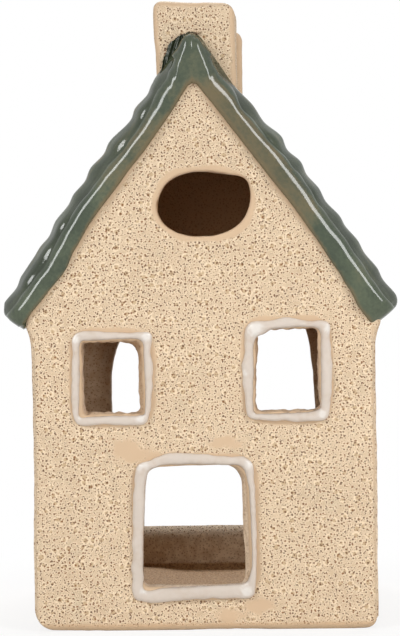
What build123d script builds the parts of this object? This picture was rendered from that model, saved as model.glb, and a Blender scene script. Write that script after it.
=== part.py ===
from build123d import *
import math
import os

# A hand-built stoneware house that a tealight stands in. Lengths are in millimetres and Z is up.
# The front faces -Y, and the origin is on the ground under the middle of the roof.

# Walls and floor
body_width = 87.0
body_depth = 84.0
wall_thickness = 5.0
floor_thickness = 5.0
foot_share = 0.6  # rounding of the lower outer edges, of the wall thickness
corner_share = 0.4  # rounding of the other outer edges, of the wall thickness

# Underside of the roof at the ridge and over the side walls
ridge_height = 139.5
eave_height = 79.5
ridge_shift = -1.2  # the ridge stands a little to the left
eave_overhang = 1.75  # past the side walls
verge_overhang = 1.5  # past the front and back walls
flare_height = 8.0  # the side walls curve out to the eaves over this height
flare_share = 0.85  # of the overhang at the eaves

# Roof slabs, and rows of tiles that are thicker at their lower edges
slab_thickness = 2.8
tile_count = 9  # rows on each side, below the cap on the ridge
tile_upper = 4.5
tile_step = 0.8
tile_setback = 0.4  # of the tile ends, behind the ends of the slabs
cap_foot = 2.2  # seat of the ridge cap on each slab
eave_share = 0.75  # rounding of the outer edge of the lowest row, of its upper thickness
slab_edge_share = 0.4  # rounding of the lower edge of a slab, of its thickness
nose_share = 0.85  # rounding of the tile ends, of their upper thickness
drip_share = 0.9  # rounding of the lower edges, of the step between two rows
ridge_radius = 1.4  # top of the cap

# Openings in the front: centre up, width and height
door = (26.5, 25.6, 30.6)
left_window = (64.5, 15.1, 18.1)
right_window = (65.9, 15.9, 20.6)
oval = (108.2, 23.3, 15.9)
# Their centres across, of half the width of the body
door_across_share = -0.046
left_window_across_share = -0.52
right_window_across_share = 0.497
oval_across_share = 0.028
# Corners from the lower left one round to the right, of half the width and half the height
door_shares = ((-1.0, -1.0), (1.0, -0.97), (0.96, 1.0), (-0.97, 0.96))
left_window_shares = ((-0.98, -1.0), (1.0, -1.0), (0.98, 1.0), (-1.0, 0.97))
right_window_shares = ((-1.0, -1.0), (1.0, -0.98), (0.95, 1.0), (-0.98, 0.97))
# Rounding of those corners, of half the width
door_radius_shares = (0.12, 0.14, 0.42, 0.36)
window_radius_shares = (0.25, 0.28, 0.3, 0.34)
# The oval was cut by eye and has a corner at its upper right
oval_shares = (
    (-1.0, 0.02), (-0.6, 0.84), (-0.1, 1.0), (0.5, 0.9), (0.92, 0.72),
    (1.0, 0.27), (0.73, -0.66), (0.03, -1.0), (-0.78, -0.74),
)

# Beads of glaze round the doorway and the windows
rim_margin = 0.4  # bare clay between an opening and its bead
rim_width = 2.4
rim_height = 1.0
rim_round_share = 0.85  # of the height of the bead, or of half its width if that is less

# Arch in the back: a low lip, two upright sides and a crown that leans to the right
arch_width = 57.8
lip_height = 18.0
crown_height = 88.0
left_crown_rise = 30.0  # above the straight left side
right_crown_rise = 22.0
crown_shift = 2.0
lip_radius = 4.0

# Chimney across the ridge, with a lower block behind it
chimney_width = 20.8
chimney_depth = 13.0
chimney_rise = 8.1  # above the top of the ridge
chimney_shift = -0.7
chimney_setback = 7.0  # behind the front of the roof
chimney_radius = 2.2  # top edges
chimney_corner_radius = 1.2  # upright edges
shoulder_depth = 8.0
shoulder_rise = 2.1
shoulder_shift = 1.4
crest_bed = 0.2  # the crests of the tiles press this far into its foot
flashing_depth = 3.0
flashing_rise = 1.6
left_flashing_lift = 2.4  # off the tiles
right_flashing_lift = 1.2

overrun = 1.0  # of a cut past the piece that it cuts
tile_lower = tile_upper + tile_step
foot_radius = wall_thickness * foot_share
half_width = body_width / 2
half_depth = body_depth / 2
half_roof = half_depth + verge_overhang
apex = Vector(ridge_shift, ridge_height)
left, right = -1, 1
upward = (0, 1)
quarter_turn = 90


def slope(side):
    """Directions down one side of the roof and straight out of it, in a cross-section."""
    run = half_width - side * ridge_shift
    angle = math.atan2(ridge_height - eave_height, run)
    down = Vector(side * math.cos(angle), -math.sin(angle))
    out = Vector(side * math.sin(angle), math.cos(angle))
    return down, out


def ridge_point(lift):
    """Where the two sides of the roof meet, that far off their undersides."""
    out = slope(right)[1]
    middle = slope(left)[1] + out
    return apex + middle * (lift / middle.dot(out))


def roof_point(side, along, lift):
    """A point down one side from the top of its slab, that far off the slab."""
    down, out = slope(side)
    return ridge_point(slab_thickness) + down * along + out * lift


def underside_height(side, across):
    """Height of the roof's underside that far from the middle of the house."""
    rise = ridge_height - eave_height
    run = half_width - side * ridge_shift
    return ridge_height - rise * (across - side * ridge_shift) / run


def slab_corner(side):
    """Lower corner of a roof slab, on its underside."""
    reach = half_width + eave_overhang
    return Vector(side * reach, underside_height(side, reach))


def slab_length(side):
    """Length of the top of a slab, from the ridge to the eave."""
    return (slab_corner(side) - ridge_point(slab_thickness)).dot(slope(side)[0])


def across_section(profile, half_length):
    """A profile in a cross-section of the house, run from the front to the back."""
    return extrude(Plane.XZ * profile, half_length, both=True)


def polygon(points):
    """A flat face with these corners."""
    return make_face(Polyline(list(points), close=True))


def flare(side):
    """Foot and top of the curve of the wall's outer face under one eave."""
    reach = half_width + eave_overhang * flare_share
    foot = Vector(side * half_width, eave_height - flare_height)
    return foot, Vector(side * reach, underside_height(side, reach))


def gable_outline():
    """Outline of the front and back walls."""
    left_foot, left_top = flare(left)
    right_foot, right_top = flare(right)
    lines = [
        Line((-half_width, 0), (half_width, 0)),
        Line((half_width, 0), right_foot),
        TangentArc(right_foot, right_top, tangent=upward),
        Line(right_top, apex),
        Line(apex, left_top),
        TangentArc(left_foot, left_top, tangent=upward),
        Line(left_foot, (-half_width, 0)),
    ]
    outline = make_face(lines)
    feet = outline.vertices().group_by(Axis.Y)[0]
    return fillet(feet, foot_radius)


def eased(wall, outer_face):
    """Rounds the outer edges of a wall below the roof."""
    edges = outer_face.outer_wire().edges()
    low = [edge for edge in edges if edge.center().Z < eave_height]
    return fillet(low, wall_thickness * corner_share)


def outline_points(across_share, place, shares):
    """Points round an opening in the front."""
    up, width, height = place
    across = half_width * across_share
    return [(across + width / 2 * x, up + height / 2 * z) for x, z in shares]


def opening(across_share, place, shares, radius_shares):
    """A four-cornered opening with rounded corners."""
    corners = outline_points(across_share, place, shares)
    radii = [place[1] / 2 * share for share in radius_shares]
    return make_face(FilletPolyline(corners, radius=radii, close=True))


def doorway():
    return opening(door_across_share, door, door_shares, door_radius_shares)


def window(side):
    if side == left:
        place = (left_window_across_share, left_window, left_window_shares)
    else:
        place = (right_window_across_share, right_window, right_window_shares)
    return opening(*place, window_radius_shares)


def gable_oval():
    points = outline_points(oval_across_share, oval, oval_shares)
    return make_face(Spline(points, periodic=True))


def front_wall():
    face = Plane.XZ.offset(half_depth)
    wall = extrude(face * gable_outline(), -wall_thickness)
    wall = eased(wall, wall.faces().sort_by(Axis.Y)[0])
    cut_face = Plane.XZ.offset(half_depth + overrun)
    for hole in (doorway(), window(left), window(right), gable_oval()):
        wall -= extrude(cut_face * hole, -wall_thickness - 2 * overrun)
    return wall


def arch():
    """The opening that the tealight goes in by."""
    side = arch_width / 2
    left_spring = crown_height - left_crown_rise
    right_spring = crown_height - right_crown_rise
    right_run = side - crown_shift
    left_run = side + crown_shift
    right_centre = (crown_shift, right_spring)
    left_centre = (crown_shift, left_spring)
    lines = [
        Line((-side, lip_height), (side, lip_height)),
        Line((side, lip_height), (side, right_spring)),
        EllipticalCenterArc(right_centre, right_run, right_crown_rise, 0, arc_size=quarter_turn),
        EllipticalCenterArc(left_centre, left_run, left_crown_rise, quarter_turn, arc_size=quarter_turn),
        Line((-side, left_spring), (-side, lip_height)),
    ]
    outline = make_face(lines)
    return fillet(outline.vertices().group_by(Axis.Y)[0], lip_radius)


def back_wall():
    wall = extrude(Plane.XZ.offset(-half_depth) * gable_outline(), wall_thickness)
    wall = eased(wall, wall.faces().sort_by(Axis.Y)[-1])
    cut_face = Plane.XZ.offset(-half_depth - overrun)
    return wall - extrude(cut_face * arch(), wall_thickness + 2 * overrun)


def side_wall(side):
    """A side wall between the front and the back, up to the underside of the roof."""
    foot, top = flare(side)
    inner = half_width - wall_thickness
    lines = [
        Line((side * inner, 0), (side * half_width, 0)),
        Line((side * half_width, 0), foot),
        TangentArc(foot, top, tangent=upward),
        Line(top, (side * inner, underside_height(side, inner))),
        Line((side * inner, underside_height(side, inner)), (side * inner, 0)),
    ]
    profile = make_face(lines)
    feet = profile.vertices().group_by(Axis.Y)[0].sort_by(Axis.X)
    outer_foot = feet[0] if side == left else feet[-1]
    return across_section(fillet(outer_foot, foot_radius), half_depth - wall_thickness)


def base_slab():
    width = body_width - 2 * wall_thickness
    depth = body_depth - 2 * wall_thickness
    return extrude(Rectangle(width, depth), floor_thickness)


def rim(hole):
    """A bead of glaze on the front, round one opening."""
    face = Plane.XZ.offset(half_depth)
    band = offset(hole, rim_margin + rim_width) - offset(hole, rim_margin)
    bead = extrude(face * band, rim_height)
    crest = bead.faces().sort_by(Axis.Y)[0]
    return fillet(crest.edges(), min(rim_height, rim_width / 2) * rim_round_share)


def roof_slab(side):
    corner = slab_corner(side)
    end = corner + slope(side)[1] * slab_thickness
    slab = across_section(polygon([apex, corner, end, ridge_point(slab_thickness)]), half_roof)
    edge = slab.edges().filter_by(Axis.Y).sort_by(Axis.Z)[0]
    return fillet(edge, slab_thickness * slab_edge_share)


def tile(side, row):
    """One row of tiles, counted from the ridge."""
    down, out = (Vector(v.X, 0, v.Y) for v in slope(side))
    pitch = (slab_length(side) - cap_foot) / tile_count
    start = cap_foot + pitch * (row - 1)
    end = start + pitch
    corners = ((start, 0), (end, 0), (end, tile_lower), (start, tile_upper))
    profile = polygon(roof_point(side, along, lift) for along, lift in corners)
    strip = across_section(profile, half_roof - tile_setback)
    top = max(strip.faces(), key=lambda face: face.center().dot(out))
    strip = fillet(top.edges().filter_by(Axis.Y, reverse=True), tile_upper * nose_share)
    low = max(strip.faces(), key=lambda face: face.center().dot(down))
    edge = max(low.edges().filter_by(Axis.Y), key=lambda line: line.center().dot(out))
    radius = tile_upper * eave_share if row == tile_count else tile_step * drip_share
    return fillet(edge, radius)


def ridge_cap():
    """The strip over the ridge, as thick at its edges as the rows below it."""
    corners = [
        ridge_point(slab_thickness),
        roof_point(right, cap_foot, 0),
        roof_point(right, cap_foot, tile_lower),
        ridge_point(slab_thickness + tile_upper),
        roof_point(left, cap_foot, tile_lower),
        roof_point(left, cap_foot, 0),
    ]
    cap = across_section(polygon(corners), half_roof - tile_setback)
    tops = cap.faces().filter_by(Axis.Y, reverse=True).sort_by(Axis.Z)[-2:]
    ends = [edge for top in tops for edge in top.edges().filter_by(Axis.Y, reverse=True)]
    cap = fillet(ends, tile_upper * nose_share)
    cap = fillet(cap.edges().filter_by(Axis.Y).sort_by(Axis.Z)[-1], ridge_radius)
    for index in (0, -1):
        edge = cap.edges().filter_by(Axis.Y).sort_by(Axis.X)[index]
        cap = fillet(edge, tile_step * drip_share)
    return cap


def block(width, depth, rise, centre, front):
    """An upright block that reaches down into the roof and that far above the ridge."""
    foot = ridge_height - width
    top = ridge_point(slab_thickness + tile_upper).Y + rise
    column = extrude(Rectangle(width, depth), top - foot)
    return Pos(centre, front + depth / 2, foot) * column


def soft_block(width, depth, rise, centre, front):
    """Such a block with its upright edges and its top rounded."""
    column = block(width, depth, rise, centre, front)
    column = fillet(column.edges().filter_by(Axis.Z), chimney_corner_radius)
    return fillet(column.faces().sort_by(Axis.Z)[-1].edges(), chimney_radius)


def under_level(side, lift):
    """What lies under a level that far above the top of one slab, and past the ridge."""
    deep = slope(side)[1] * body_width
    top = roof_point(side, -body_width, lift)
    low = roof_point(side, body_width, lift)
    return across_section(polygon([top, low, low - deep, top - deep]), half_roof)


def seated(piece, tiles):
    """The part of a piece that stands on the crests of the tiles."""
    seat = tile_lower - crest_bed
    piece -= under_level(left, seat) & under_level(right, seat)
    for strip in tiles:
        piece -= strip
    return piece


def chimney(tiles):
    """The stack, the lower block behind it and the strip of clay along its front foot."""
    front = chimney_setback - half_roof
    behind = front + chimney_depth
    before = front - flashing_depth
    shoulder_centre = chimney_shift + shoulder_shift
    stack = soft_block(chimney_width, chimney_depth, chimney_rise, chimney_shift, front)
    shoulder = soft_block(chimney_width, shoulder_depth, shoulder_rise, shoulder_centre, behind)
    strip = block(chimney_width, flashing_depth, flashing_rise, chimney_shift, before)
    strip &= under_level(left, tile_lower + left_flashing_lift)
    strip &= under_level(right, tile_lower + right_flashing_lift)
    return {
        "chimney_stack": seated(stack, tiles),
        "chimney_shoulder": seated(shoulder, tiles),
        "chimney_flashing": seated(strip, tiles),
    }


tiles = {"ridge_cap": ridge_cap()}
for row in range(1, tile_count + 1):
    tiles[f"left_tile_{row}"] = tile(left, row)
    tiles[f"right_tile_{row}"] = tile(right, row)

pieces = {
    "base_slab": base_slab(),
    "front_wall": front_wall(),
    "back_wall": back_wall(),
    "left_wall": side_wall(left),
    "right_wall": side_wall(right),
    "doorway_rim": rim(doorway()),
    "left_window_rim": rim(window(left)),
    "right_window_rim": rim(window(right)),
    "left_roof_slab": roof_slab(left),
    "right_roof_slab": roof_slab(right),
    **tiles,
    **chimney(tiles.values()),
}

os.makedirs("parts", exist_ok=True)
for name, piece in pieces.items():
    export_step(piece, f"parts/{name}.step")
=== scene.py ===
import math
import bmesh
import bpy
from mathutils import Matrix, Quaternion, Vector, noise


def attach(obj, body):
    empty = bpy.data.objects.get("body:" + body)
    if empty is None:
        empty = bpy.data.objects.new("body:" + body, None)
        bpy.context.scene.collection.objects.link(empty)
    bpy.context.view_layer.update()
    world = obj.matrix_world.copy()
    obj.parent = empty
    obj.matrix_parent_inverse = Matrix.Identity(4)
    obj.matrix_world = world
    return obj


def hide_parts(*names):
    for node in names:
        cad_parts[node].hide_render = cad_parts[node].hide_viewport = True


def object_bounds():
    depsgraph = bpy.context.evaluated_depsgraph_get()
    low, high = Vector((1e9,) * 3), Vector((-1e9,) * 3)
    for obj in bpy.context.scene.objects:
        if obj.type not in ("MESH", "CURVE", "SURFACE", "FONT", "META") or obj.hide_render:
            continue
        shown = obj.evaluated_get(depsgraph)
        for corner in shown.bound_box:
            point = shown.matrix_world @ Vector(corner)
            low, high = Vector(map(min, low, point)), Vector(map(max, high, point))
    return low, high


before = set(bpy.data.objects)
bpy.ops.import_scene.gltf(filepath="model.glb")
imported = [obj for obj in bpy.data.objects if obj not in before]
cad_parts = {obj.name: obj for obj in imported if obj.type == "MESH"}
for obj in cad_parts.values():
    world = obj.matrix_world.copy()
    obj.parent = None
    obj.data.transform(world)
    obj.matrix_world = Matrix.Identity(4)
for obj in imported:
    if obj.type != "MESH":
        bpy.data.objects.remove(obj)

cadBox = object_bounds()
mm = 0.001
print("frame loaded with", len(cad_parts), "nodes")


# shapes
def smoothStep(low, high, value):
    t = min(1.0, max(0.0, (value - low) / (high - low)))
    return t * t * (3 - 2 * t)


def follow(points, place):
    # an eased run through pairs of place and value
    value = points[0][1]
    for (a, low), (b, high) in zip(points, points[1:]):
        value += (high - low) * smoothStep(a, b, place)
    return value


def rounded(distance, radius):
    # how far a rounded end draws in, that far from its tip
    if distance >= radius:
        return 0.0
    return radius - math.sqrt(max(0.0, radius * radius - (radius - distance) ** 2))


def drawIn(across, up, radius):
    # how far a point outside a rounded corner goes back, counted from the corner's centre
    reach = math.hypot(across, up)
    if min(across, up) <= 0.0 or reach <= radius:
        return 0.0, 0.0
    share = 1.0 - radius / reach
    return across * share, up * share


def noiseAt(x, y, z):
    return noise.noise(Vector((x, y, z)))


def newPiece(name, mesh):
    piece = bpy.data.objects.new(name, mesh)
    bpy.context.scene.collection.objects.link(piece)
    return piece


def wrapGrid(name, rings, closed=False):
    # a grid bent into a tube through rings of points in mm, its ends filled unless it closes on itself
    count, points = len(rings), len(rings[0])
    along = count if closed else count - 1
    bm = bmesh.new()
    bmesh.ops.create_grid(bm, x_segments=along, y_segments=points, size=0.5)
    for v in bm.verts:
        i, j = round((v.co.x + 0.5) * along), round((v.co.y + 0.5) * points)
        v.co = rings[i % count][j % points] * mm
    bmesh.ops.remove_doubles(bm, verts=bm.verts, dist=1e-7)
    if not closed:
        bmesh.ops.holes_fill(bm, edges=[e for e in bm.edges if e.is_boundary], sides=0)
    bmesh.ops.recalc_face_normals(bm, faces=bm.faces)
    mesh = bpy.data.meshes.new(name)
    bm.to_mesh(mesh)
    bm.free()
    return newPiece(name, mesh)


def nodeCopy(name, *nodes):
    bm = bmesh.new()
    for node in nodes:
        bm.from_mesh(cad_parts[node].data)
    bmesh.ops.remove_doubles(bm, verts=bm.verts, dist=1e-6)  # the CAD triangles come loose
    mesh = bpy.data.meshes.new(name)
    bm.to_mesh(mesh)
    bm.free()
    return newPiece(name, mesh)


def reshape(piece, *changes):
    # each change moves a place, in mm
    for v in piece.data.vertices:
        p = v.co / mm
        for change in changes:
            change(p)
        v.co = p * mm
    piece.data.update()


def applyModifiers(piece):
    depsgraph = bpy.context.evaluated_depsgraph_get()
    mesh = bpy.data.meshes.new_from_object(piece.evaluated_get(depsgraph))
    old = piece.data
    piece.modifiers.clear()
    piece.data = mesh
    bpy.data.meshes.remove(old)


def asClay(piece, voxel, rounds):
    remesh = piece.modifiers.new("clay", "REMESH")
    remesh.mode = "VOXEL"
    remesh.voxel_size = voxel * mm
    soften = piece.modifiers.new("soften", "SMOOTH")
    soften.factor = 0.5
    soften.iterations = rounds
    applyModifiers(piece)


def lumps(piece, layers, seed):
    # hand-worked unevenness: each layer is a size and a depth in mm
    mesh = piece.data
    shift = Vector((seed * 1.7, seed * 2.3, seed * 3.1))
    normals = [v.normal.copy() for v in mesh.vertices]
    for v, normal in zip(mesh.vertices, normals):
        move = 0.0
        for size, depth in layers:
            move += noise.noise(v.co / (size * mm) + shift) * depth
        v.co += normal * (move * mm)
    mesh.update()


def paint(piece, name, value):
    # a float for each vertex, from its place in mm
    layer = piece.data.attributes.new(name, "FLOAT", "POINT")
    for v in piece.data.vertices:
        layer.data[v.index].value = value(v.co / mm)


def paintSkin(piece):
    # flat places over the surface in mm, taken from the side that each point faces
    layer = piece.data.attributes.new("skin", "FLOAT_VECTOR", "POINT")
    apart = 300  # keeps the patterns of the sides from meeting
    for v in piece.data.vertices:
        p = v.co / mm
        facing = [abs(c) for c in v.normal]
        flat = (p.x, p.y + 2 * apart, 0)
        if facing[1] == max(facing):
            flat = (p.x, p.z, 0)
        elif facing[0] == max(facing):
            flat = (p.y + apart, p.z, 0)
        layer.data[v.index].vector = flat


def settle(piece, material, slot, *nodes):
    low, high = cadBox
    for v in piece.data.vertices:
        v.co = [min(max(c, a), b) for c, a, b in zip(v.co, low, high)]
    piece.data.materials.clear()
    piece.data.materials.append(material)
    for face in piece.data.polygons:
        face.use_smooth = True
    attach(piece, "root")
    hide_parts(*nodes)


# nodes
def newMaterial(name):
    material = bpy.data.materials.new(name)
    material.use_nodes = True
    tree = material.node_tree
    tree.nodes.clear()
    return material, tree


def add(tree, kind, inputs=None, **settings):
    node = tree.nodes.new("ShaderNode" + kind)
    for key, value in settings.items():
        setattr(node, key, value)
    for key, value in (inputs or {}).items():
        if isinstance(value, bpy.types.NodeSocket):
            tree.links.new(value, node.inputs[key])
        else:
            node.inputs[key].default_value = value
    return node


def mathNode(tree, operation, a, b=0.0, c=0.0):
    return add(tree, "Math", {0: a, 1: b, 2: c}, operation=operation).outputs[0]


def times(tree, a, b):
    return mathNode(tree, "MULTIPLY", a, b)


def ramp(tree, value, low, high, start=0.0, end=1.0):
    limits = {"From Min": low, "From Max": high, "To Min": start, "To Max": end}
    node = add(tree, "MapRange", {"Value": value, **limits}, interpolation_type="SMOOTHSTEP")
    return node.outputs[0]


def mixColour(tree, factor, a, b, blend="MIX"):
    return add(tree, "Mix", {0: factor, 6: a, 7: b}, data_type="RGBA", blend_type=blend).outputs[2]


def scaled(tree, vector, factor):
    return add(tree, "VectorMath", {0: vector, "Scale": factor}, operation="SCALE").outputs[0]


def objectPoint(tree, scale):
    # object coordinates in units of the given size in mm
    return scaled(tree, add(tree, "TexCoord").outputs["Object"], 1.0 / (scale * mm))


def noiseNode(tree, scale, detail=2.0, roughness=0.5):
    place = objectPoint(tree, scale)
    return add(tree, "TexNoise", {"Vector": place, "Scale": 1.0, "Detail": detail, "Roughness": roughness})


def attribute(tree, name):
    return add(tree, "Attribute", attribute_name=name).outputs["Fac"]


def glaze(tree, look, colour, roughness, height):
    bump = {"Strength": look["bump"], "Distance": look["bumpDepth"] * mm, "Height": height}
    normal = add(tree, "Bump", bump).outputs[0]
    shader = add(tree, "BsdfPrincipled", {"Base Color": colour, "Roughness": roughness, "Normal": normal})
    tree.links.new(shader.outputs[0], add(tree, "OutputMaterial").inputs[0])
    return shader


def linear(byte):
    c = byte / 255
    return c / 12.92 if c <= 0.04045 else ((c + 0.055) / 1.055) ** 2.4


def rgb(r, g, b):
    # sRGB bytes to scene values
    return linear(r), linear(g), linear(b), 1.0


# cream glaze full of open pits, thinner and browner inside the house
creamGlaze = {
    "pale": rgb(213, 190, 160),
    "warm": rgb(199, 174, 144),
    "cool": rgb(198, 186, 159),
    "smooth": rgb(205, 177, 146),
    "pit": rgb(126, 78, 36),
    "deepPit": rgb(76, 38, 12),
    "crater": rgb(182, 154, 118),
    # pale rims round the pits, partly painted highlight
    "craterRim": rgb(242, 221, 191),
    # lighter inside: partly bare clay, partly painted light reaching in; the attic colour is painted shade
    # higher up inside
    "inside": rgb(232, 212, 186),
    "insideDark": rgb(206, 180, 152),
    "atticShade": rgb(168, 132, 97),
    "floor": rgb(192, 154, 112),
    "floorDark": rgb(148, 112, 76),
    "higherShade": (0.9, 0.9, 0.9, 1.0),  # painted shade: darker towards the top
    "foot": rgb(196, 171, 141),
    "footLine": rgb(196, 162, 126),
    "cloud": 14.0, "mottle": 2.6, "grain": 0.7, "patch": 5.0,  # sizes of its unevenness in mm
    "topShadeBand": (60.0, 160.0), "atticShadeBand": (30.0, 95.0),  # heights in mm
    "floorBand": (7.4, 6.4), "footBand": (2.0, 1.5), "lineBands": ((1.4, 2.0), (2.9, 2.1)),
    "largePit": (0.9, 0.25, 0.95, 0.5),  # spacing in mm, radius in spacings, share kept, unevenness
    "finePit": (0.6, 0.24, 0.8, 0.5),
    "craterPit": (2.3, 0.24, 0.5, 0.35),
    "rimShare": 0.65, "craterShare": 0.75, "pitShare": 0.88, "insidePits": 0.4, "lineShare": 0.5,
    "bump": 0.45, "bumpDepth": 0.2, "roughness": 0.62, "pitRoughness": 0.85, "specular": 0.25,
}


def pitLayer(tree, spacing, radius, keep, wobble):
    # the pits, the rims round them and a chance for each pit
    skin = add(tree, "Attribute", attribute_name="skin").outputs["Vector"]
    point = scaled(tree, skin, 1.0 / spacing)
    bend = noiseNode(tree, spacing * 0.8, 1.0).outputs["Color"]
    bend = add(tree, "VectorMath", {0: bend, 1: (0.5, 0.5, 0.5)}, operation="SUBTRACT").outputs[0]
    bend = scaled(tree, bend, wobble)
    point = add(tree, "VectorMath", {0: point, 1: bend}, operation="ADD").outputs[0]
    cells = add(tree, "TexVoronoi", {"Vector": point, "Scale": 1.0}, feature="F1", voronoi_dimensions="2D")
    chance = add(tree, "SeparateColor", {"Color": cells.outputs["Color"]})
    size = mathNode(tree, "MULTIPLY_ADD", chance.outputs[0], radius * 0.6, radius * 0.7)
    kept = mathNode(tree, "LESS_THAN", chance.outputs[1], keep)
    reach = mathNode(tree, "SUBTRACT", size, cells.outputs["Distance"])
    hole = times(tree, ramp(tree, reach, -0.05, 0.12), kept)
    rim = times(tree, ramp(tree, reach, -0.28, -0.06), kept)
    return hole, rim, chance.outputs[2]


def makeCreamGlaze():
    look = creamGlaze
    material, tree = newMaterial("creamGlaze")
    pitted = attribute(tree, "pitted")
    inside = attribute(tree, "inside")
    cloud = noiseNode(tree, look["cloud"], 3.0).outputs["Fac"]
    mottle = noiseNode(tree, look["mottle"], 4.0, 0.6).outputs["Fac"]
    grain = noiseNode(tree, look["grain"], 3.0, 0.65).outputs["Fac"]
    patchy = noiseNode(tree, look["patch"], 3.0).outputs["Fac"]
    large, largeRim, deepness = pitLayer(tree, *look["largePit"])
    fine, fineRim = pitLayer(tree, *look["finePit"])[:2]
    crater, craterRim = pitLayer(tree, *look["craterPit"])[:2]
    up = add(tree, "SeparateXYZ", {0: objectPoint(tree, 1.0)}).outputs["Z"]

    # the glaze, smooth in patches
    tone = mathNode(tree, "MULTIPLY_ADD", cloud, 0.55, times(tree, mottle, 0.6))
    colour = mixColour(tree, ramp(tree, tone, 0.40, 0.78), look["pale"], look["warm"])
    colour = mixColour(tree, ramp(tree, cloud, 0.58, 0.75, 0.0, 0.5), colour, look["cool"])
    colour = mixColour(tree, ramp(tree, grain, 0.5, 0.8, 0.0, 0.5), colour, look["craterRim"])
    patch = ramp(tree, mathNode(tree, "MULTIPLY_ADD", patchy, 1.3, pitted), 0.8, 1.4)
    colour = mixColour(tree, ramp(tree, patch, 0.0, 1.0, 1.0, 0.0), colour, look["smooth"])

    # its pits and their pale rims, partly painted highlight on the crater edges
    rims = mathNode(tree, "MAXIMUM", craterRim, largeRim)
    rims = mathNode(tree, "MAXIMUM", rims, times(tree, fineRim, 0.6))
    rims = times(tree, rims, patch)
    crater = times(tree, crater, patch)
    hole = mathNode(tree, "MAXIMUM", large, times(tree, fine, 0.65))
    hole = times(tree, hole, patch)
    colour = mixColour(tree, times(tree, rims, look["rimShare"]), colour, look["craterRim"])
    colour = mixColour(tree, times(tree, crater, look["craterShare"]), colour, look["crater"])
    pitColour = mixColour(tree, deepness, look["pit"], look["deepPit"])
    colour = mixColour(tree, times(tree, hole, look["pitShare"]), colour, pitColour)

    # its changes by height, with painted shade towards the top
    uneven = mathNode(tree, "MULTIPLY_ADD", mottle, 1.0, up)
    colour = mixColour(tree, ramp(tree, up, *look["topShadeBand"]), colour, look["higherShade"], "MULTIPLY")
    rise, fall = (ramp(tree, uneven, *band) for band in look["lineBands"])
    colour = mixColour(tree, ramp(tree, uneven, *look["footBand"]), colour, look["foot"])
    line = times(tree, times(tree, rise, fall), look["lineShare"])
    colour = mixColour(tree, line, colour, look["footLine"])

    # the thin glaze inside, lighter than outside, partly its own colour and partly painted light reaching
    # in, and darker higher up as painted shade
    bare = mixColour(tree, ramp(tree, mottle, 0.35, 0.65), look["inside"], look["insideDark"])
    bare = mixColour(tree, ramp(tree, up, *look["atticShadeBand"]), bare, look["atticShade"])
    floor = mixColour(tree, ramp(tree, grain, 0.42, 0.66), look["floor"], look["floorDark"])
    bare = mixColour(tree, ramp(tree, up, *look["floorBand"]), bare, floor)
    bare = mixColour(tree, times(tree, large, look["insidePits"]), bare, look["pit"])
    colour = mixColour(tree, inside, colour, bare)

    hollow = mathNode(tree, "SUBTRACT", times(tree, rims, 0.3), hole)
    hollow = mathNode(tree, "SUBTRACT", hollow, times(tree, crater, 0.4))
    height = mathNode(tree, "MULTIPLY_ADD", grain, 0.25, hollow)
    roughness = ramp(tree, hole, 0.0, 1.0, look["roughness"], look["pitRoughness"])
    shader = glaze(tree, look, colour, roughness, height)
    shader.inputs["Specular IOR Level"].default_value = look["specular"]
    return material


# moss green glaze, glossy, brown where it runs thin, darker where it pools, and darker low on the tile ends
# as painted shade
greenGlaze = {
    "deep": rgb(56, 66, 50),
    "light": rgb(82, 91, 70),
    "thin": rgb(106, 90, 60),
    "poolAndShade": rgb(24, 32, 8),
    "bare": rgb(176, 146, 118),
    "cloud": 9.0, "speck": 0.9, "ripple": 2.4,  # sizes of its unevenness in mm
    "bump": 0.2, "bumpDepth": 0.25, "roughness": 0.12, "bareRoughness": 0.8, "ior": 1.5,
}


def makeGreenGlaze():
    look = greenGlaze
    material, tree = newMaterial("greenGlaze")
    inside = attribute(tree, "inside")
    thin = attribute(tree, "thin")
    pooledAndPaintedLight = attribute(tree, "pooledAndPaintedLight")
    cloud = noiseNode(tree, look["cloud"], 3.0).outputs["Fac"]
    speck = noiseNode(tree, look["speck"], 3.0, 0.6).outputs["Fac"]
    ripple = noiseNode(tree, look["ripple"], 2.0).outputs["Fac"]
    tone = mathNode(tree, "MULTIPLY_ADD", speck, 0.35, times(tree, cloud, 0.8))
    colour = mixColour(tree, ramp(tree, tone, 0.38, 0.78), look["deep"], look["light"])
    breaks = mathNode(tree, "MULTIPLY_ADD", speck, 0.3, times(tree, cloud, 0.9))
    breaks = ramp(tree, mathNode(tree, "ADD", breaks, thin), 0.85, 1.35, 0.0, 0.8)
    colour = mixColour(tree, breaks, colour, look["thin"])
    # pooled glaze, painted shade on the tile ends and painted glints on the rims share this mask
    colour = mixColour(tree, pooledAndPaintedLight, colour, look["poolAndShade"])
    colour = mixColour(tree, inside, colour, look["bare"])
    height = mathNode(tree, "MULTIPLY_ADD", speck, 0.1, ripple)
    roughness = ramp(tree, inside, 0.0, 1.0, look["roughness"], look["bareRoughness"])
    shader = glaze(tree, look, colour, roughness, height)
    shader.inputs["IOR"].default_value = look["ior"]
    return material


# thick white glaze of the rims, with painted glints at their corners
whiteGlaze = {
    "white": rgb(204, 192, 180),
    "stained": rgb(188, 166, 144),
    "thick": rgb(229, 226, 221),
    "cloud": 4.0, "speck": 0.8,  # sizes of its unevenness in mm
    "bump": 0.3, "bumpDepth": 0.2, "roughness": 0.16,
}


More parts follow.
